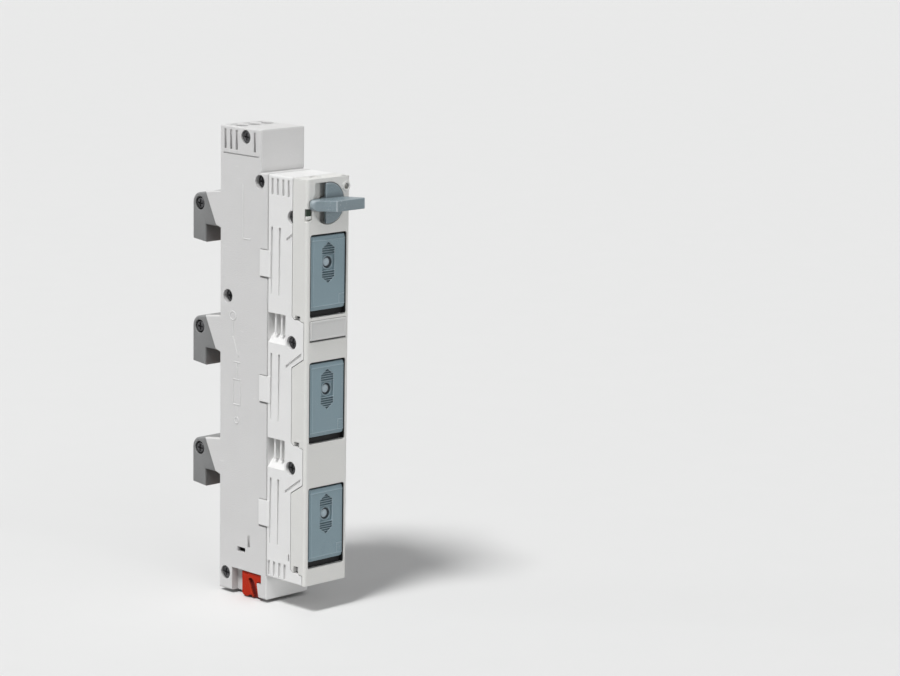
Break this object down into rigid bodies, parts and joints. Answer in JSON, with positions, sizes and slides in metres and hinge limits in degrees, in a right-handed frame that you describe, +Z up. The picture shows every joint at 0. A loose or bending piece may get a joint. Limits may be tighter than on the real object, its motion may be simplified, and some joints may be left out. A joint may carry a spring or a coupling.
{
  "type": "modular fuse holder",
  "caption": "Slim busbar-mounted fuse switch: in-line fuse carriers behind sliding covers, a rotary switch handle, claws for flat busbars and a red locking slide.",
  "frame": {"origin": "middle of the copper seat that meets the middle busbar", "axes": "+Z up along the row of poles, -Y out of the front, +X to the right across the slim width seen from the front"},
  "size_m": [0.0282, 0.0956, 0.2264],
  "materials": {
    "base_shell_left": "light grey moulded plastic",
    "base_shell_right": "light grey moulded plastic",
    "front_shell_left": "light grey moulded plastic",
    "front_shell_right": "light grey moulded plastic",
    "front_hood": "light grey moulded plastic",
    "cable_cover": "light grey moulded plastic",
    "marker_plate": "light grey moulded plastic",
    "indicator_window": "dark green window",
    "rotary_knob": "dark blue-grey plastic",
    "knob_shaft": "plain",
    "switch_crank": "black plastic",
    "switch_bar": "black plastic",
    "locking_slide": "red plastic",
    "base_screw_1": "plain",
    "base_screw_2": "plain",
    "base_screw_3": "plain",
    "base_screw_4": "plain",
    "front_screw_1": "plain",
    "claw_screw_1": "plain",
    "bridge_contact_1": "silver-plated copper",
    "line_contact_1": "bare copper",
    "fuse_contact_1": "bare copper",
    "load_contact_1": "bare copper",
    "terminal_cage_1": "plain",
    "clamp_spring_1": "plain",
    "fuse_tube_1": "white",
    "fuse_front_cap_1": "silver-plated copper",
    "fuse_rear_cap_1": "silver-plated copper",
    "fuse_carrier_1": "black plastic",
    "carrier_panel_1": "dark blue-grey plastic",
    "busbar_claw_1": "grey plastic",
    "front_screw_2": "plain",
    "claw_screw_2": "plain",
    "bridge_contact_2": "silver-plated copper",
    "line_contact_2": "bare copper",
    "fuse_contact_2": "bare copper",
    "load_contact_2": "bare copper",
    "terminal_cage_2": "plain",
    "clamp_spring_2": "plain",
    "fuse_tube_2": "white",
    "fuse_front_cap_2": "silver-plated copper",
    "fuse_rear_cap_2": "silver-plated copper",
    "fuse_carrier_2": "black plastic",
    "carrier_panel_2": "dark blue-grey plastic",
    "busbar_claw_2": "grey plastic",
    "front_screw_3": "plain",
    "claw_screw_3": "plain",
    "bridge_contact_3": "silver-plated copper",
    "line_contact_3": "bare copper",
    "fuse_contact_3": "bare copper",
    "load_contact_3": "bare copper",
    "terminal_cage_3": "plain",
    "clamp_spring_3": "plain",
    "fuse_tube_3": "white",
    "fuse_front_cap_3": "silver-plated copper",
    "fuse_rear_cap_3": "silver-plated copper",
    "fuse_carrier_3": "black plastic",
    "carrier_panel_3": "dark blue-grey plastic",
    "busbar_claw_3": "grey plastic"
  },
  "bodies": {
    "housing": {"base_shell_left": "base_shell_left", "base_shell_right": "base_shell_right", "front_shell_left": "front_shell_left", "front_shell_right": "front_shell_right", "front_hood": "front_hood", "cable_cover": "cable_cover", "marker_plate": "marker_plate", "indicator_window": "indicator_window", "base_screw_1": "base_screw_1", "base_screw_2": "base_screw_2", "base_screw_3": "base_screw_3", "base_screw_4": "base_screw_4", "front_screw_1": "front_screw_1", "claw_screw_1": "claw_screw_1", "line_contact_1": "line_contact_1", "fuse_contact_1": "fuse_contact_1", "load_contact_1": "load_contact_1", "terminal_cage_1": "terminal_cage_1", "clamp_spring_1": "clamp_spring_1", "busbar_claw_1": "busbar_claw_1", "front_screw_2": "front_screw_2", "claw_screw_2": "claw_screw_2", "line_contact_2": "line_contact_2", "fuse_contact_2": "fuse_contact_2", "load_contact_2": "load_contact_2", "terminal_cage_2": "terminal_cage_2", "clamp_spring_2": "clamp_spring_2", "busbar_claw_2": "busbar_claw_2", "front_screw_3": "front_screw_3", "claw_screw_3": "claw_screw_3", "line_contact_3": "line_contact_3", "fuse_contact_3": "fuse_contact_3", "load_contact_3": "load_contact_3", "terminal_cage_3": "terminal_cage_3", "clamp_spring_3": "clamp_spring_3", "busbar_claw_3": "busbar_claw_3"},
    "knob": {"rotary_knob": "rotary_knob", "knob_shaft": "knob_shaft", "switch_crank": "switch_crank"},
    "switch_bar": {"switch_bar": "switch_bar", "bridge_contact_1": "bridge_contact_1", "bridge_contact_2": "bridge_contact_2", "bridge_contact_3": "bridge_contact_3"},
    "slide": {"locking_slide": "locking_slide"},
    "carrier_1": {"fuse_carrier_1": "fuse_carrier_1", "fuse_tube_1": "fuse_tube_1", "fuse_front_cap_1": "fuse_front_cap_1", "fuse_rear_cap_1": "fuse_rear_cap_1"},
    "cover_1": {"carrier_panel_1": "carrier_panel_1"},
    "carrier_2": {"fuse_carrier_2": "fuse_carrier_2", "fuse_tube_2": "fuse_tube_2", "fuse_front_cap_2": "fuse_front_cap_2", "fuse_rear_cap_2": "fuse_rear_cap_2"},
    "cover_2": {"carrier_panel_2": "carrier_panel_2"},
    "carrier_3": {"fuse_carrier_3": "fuse_carrier_3", "fuse_tube_3": "fuse_tube_3", "fuse_front_cap_3": "fuse_front_cap_3", "fuse_rear_cap_3": "fuse_rear_cap_3"},
    "cover_3": {"carrier_panel_3": "carrier_panel_3"}
  },
  "joints": [
    {"name": "knob_turn", "type": "hinge", "parent": "housing", "child": "knob", "pos_m": [0, -0.0651, 0.0932], "axis": [0, 1, 0], "range_deg": [0, 90]},
    {"name": "switch_bar_slide", "type": "slide", "parent": "housing", "child": "switch_bar", "axis": [0, 0, -1], "range_m": [0, 0.01103]},
    {"name": "locking_slide_travel", "type": "slide", "parent": "housing", "child": "slide", "axis": [0, 1, 0], "range_m": [0, 0.006]},
    {"name": "carrier_1_pull", "type": "slide", "parent": "housing", "child": "carrier_1", "axis": [0, -1, 0], "range_m": [0, 0.04]},
    {"name": "cover_1_slide", "type": "slide", "parent": "carrier_1", "child": "cover_1", "axis": [0, 0, -1], "range_m": [0, 0.0028]},
    {"name": "carrier_2_pull", "type": "slide", "parent": "housing", "child": "carrier_2", "axis": [0, -1, 0], "range_m": [0, 0.04]},
    {"name": "cover_2_slide", "type": "slide", "parent": "carrier_2", "child": "cover_2", "axis": [0, 0, -1], "range_m": [0, 0.0028]},
    {"name": "carrier_3_pull", "type": "slide", "parent": "housing", "child": "carrier_3", "axis": [0, -1, 0], "range_m": [0, 0.04]},
    {"name": "cover_3_slide", "type": "slide", "parent": "carrier_3", "child": "cover_3", "axis": [0, 0, -1], "range_m": [0, 0.0028]}
  ],
  "couplings": [
    {"joint": "knob_turn", "follows": "switch_bar_slide", "rad_per_m": 142.4}
  ]
}
